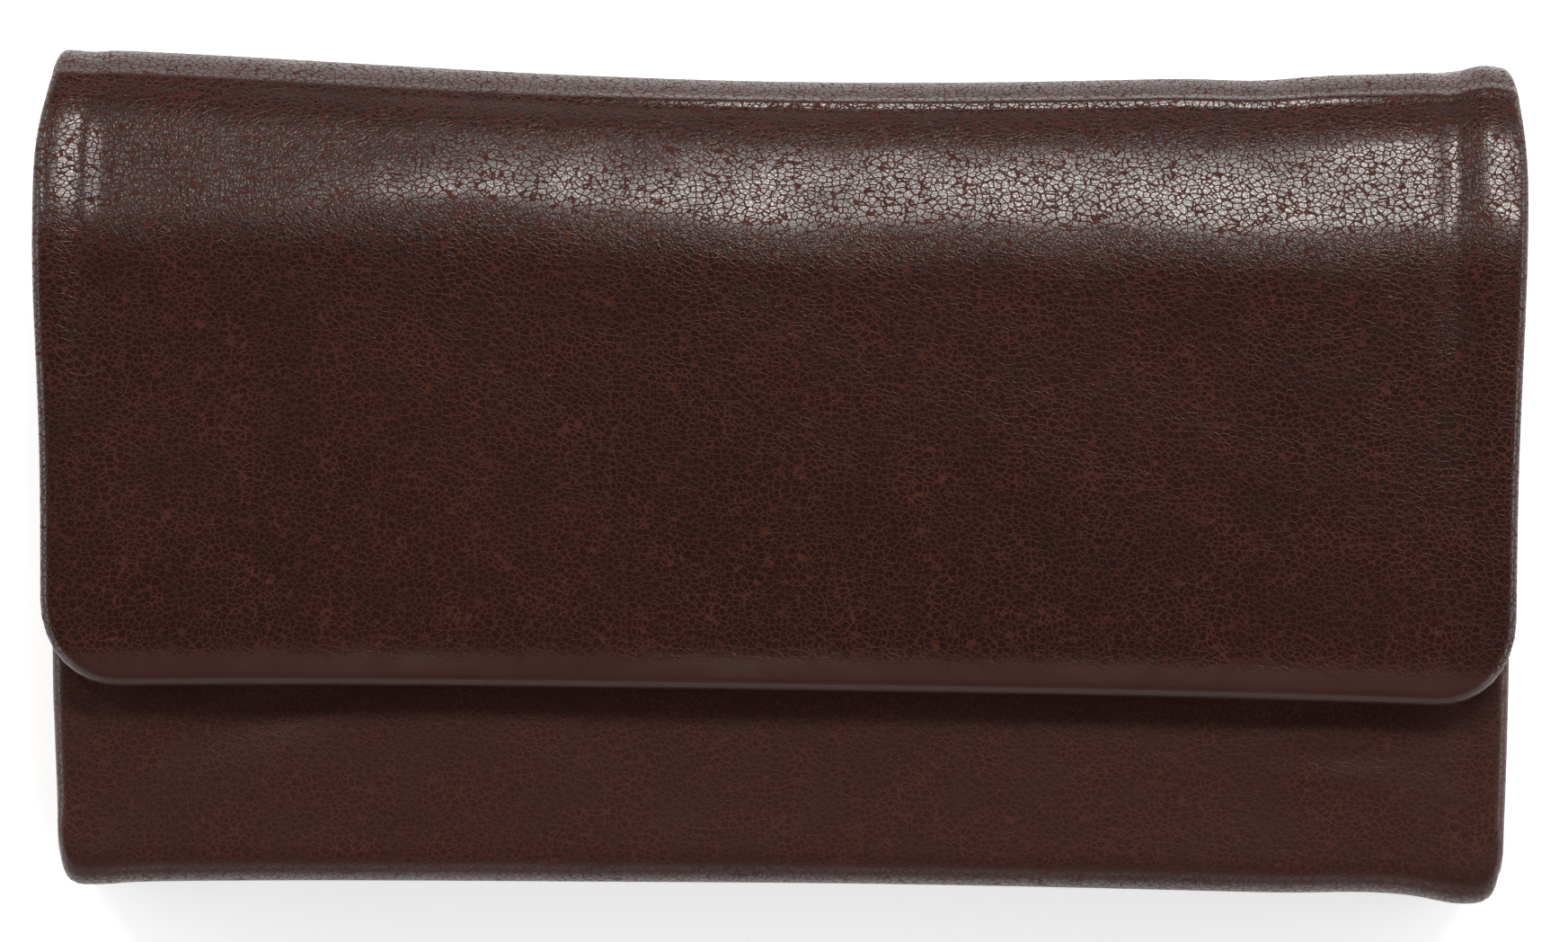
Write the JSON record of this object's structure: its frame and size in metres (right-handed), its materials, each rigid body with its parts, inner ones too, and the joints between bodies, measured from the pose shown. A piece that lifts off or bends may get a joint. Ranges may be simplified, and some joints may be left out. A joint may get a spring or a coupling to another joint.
{
  "type": "trifold wallet",
  "caption": "Long leather trifold wallet with a padded flap over a short front panel, banknote compartment, zipped coin pocket, card slots and hidden magnetic closure.",
  "frame": {"origin": "middle of the outline on the back panel's outer face, where the closed wallet rests", "axes": "+X along the width, +Y from the bottom fold towards the top fold, +Z from the back panel towards the flap"},
  "size_m": [0.185, 0.103, 0.028],
  "materials": {
    "cover_leather": "semi-gloss aniline calf, fine pebbled grain",
    "pocket_leather": "smooth thin split leather, satin",
    "lining_fabric": "woven polyester, matt",
    "foam": "fine open foam",
    "stiffener": "bonded fibre board",
    "magnet": "nickel plated",
    "clear_film": "clear soft film",
    "thread": "bonded polyester thread",
    "zip_metal": "brushed",
    "slider_metal": "polished",
    "zip_tape": "woven tape"
  },
  "bodies": {
    "back_panel": {"back_cover": "cover_leather", "back_board": "stiffener", "back_lining": "lining_fabric", "note_divider": "lining_fabric", "note_gusset_left": "lining_fabric", "note_gusset_right": "lining_fabric", "note_gusset_bottom": "lining_fabric", "coin_pocket_rear_wall": "lining_fabric", "coin_pocket_front_wall": "lining_fabric", "coin_gusset_left": "lining_fabric", "coin_gusset_right": "lining_fabric", "coin_gusset_bottom": "lining_fabric", "zip_tape_rear": "zip_tape", "zip_tape_front": "zip_tape", "zip_teeth_rear": "zip_metal", "zip_teeth_front": "zip_metal", "zip_bottom_stop": "zip_metal", "zip_top_stop": "zip_metal", "zip_end_tab_left": "pocket_leather", "zip_end_tab_right": "pocket_leather", "card_slot_left_1": "pocket_leather", "card_slot_left_2": "pocket_leather", "card_slot_left_3": "pocket_leather", "card_slot_right_1": "pocket_leather", "card_slot_right_2": "pocket_leather", "card_slot_right_3": "pocket_leather", "card_slot_stitching": "thread"},
    "top_spine": {"top_spine_cover": "cover_leather", "top_spine_lining": "lining_fabric", "top_back_fold": "cover_leather"},
    "flap": {"flap_cover": "cover_leather", "flap_padding": "foam", "flap_magnet": "magnet", "flap_board": "stiffener", "flap_lining": "lining_fabric", "flap_slip_pocket": "pocket_leather", "flap_window_frame": "pocket_leather", "flap_window_film": "clear_film", "top_flap_fold": "cover_leather"},
    "bottom_spine": {"bottom_spine_cover": "cover_leather", "bottom_spine_lining": "lining_fabric", "bottom_back_fold": "cover_leather"},
    "front_panel": {"front_cover": "cover_leather", "front_padding": "foam", "front_magnet": "magnet", "front_board": "stiffener", "front_lining": "lining_fabric", "front_slip_pocket": "pocket_leather", "front_pocket_stitching": "thread", "bottom_front_fold": "cover_leather"},
    "slider": {"zip_slider": "slider_metal"},
    "pull": {"zip_pull_tab": "slider_metal"}
  },
  "joints": [
    {"name": "top_spine_fold", "type": "hinge", "parent": "back_panel", "child": "top_spine", "pos_m": [0, 0.05017, 0.00133], "axis": [-1, 0, 0], "range_deg": [0, 90], "deforming": ["top_back_fold"]},
    {"name": "flap_fold", "type": "hinge", "parent": "top_spine", "child": "flap", "pos_m": [0, 0.04931, 0.02581], "axis": [-1, 0, 0], "range_deg": [0, 90], "deforming": ["top_flap_fold"]},
    {"name": "bottom_spine_fold", "type": "hinge", "parent": "back_panel", "child": "bottom_spine", "pos_m": [0, -0.05017, 0.00133], "axis": [1, 0, 0], "range_deg": [0, 90], "deforming": ["bottom_back_fold"]},
    {"name": "front_fold", "type": "hinge", "parent": "bottom_spine", "child": "front_panel", "pos_m": [0, -0.05017, 0.02087], "axis": [1, 0, 0], "range_deg": [0, 90], "deforming": ["bottom_front_fold"]},
    {"name": "zip_slide", "type": "slide", "parent": "back_panel", "child": "slider", "axis": [-1, 0, 0], "range_m": [0, 0.139], "deforming": ["zip_teeth_rear", "zip_teeth_front"]},
    {"name": "pull_flip", "type": "hinge", "parent": "slider", "child": "pull", "pos_m": [0.07, 0.0329, 0.0113], "axis": [0, 0, -1], "range_deg": [0, 180]}
  ],
  "couplings": [
    {"joint": "flap_fold", "follows": "top_spine_fold", "ratio": 1},
    {"joint": "bottom_spine_fold", "follows": "top_spine_fold", "ratio": 1},
    {"joint": "front_fold", "follows": "top_spine_fold", "ratio": 1}
  ]
}
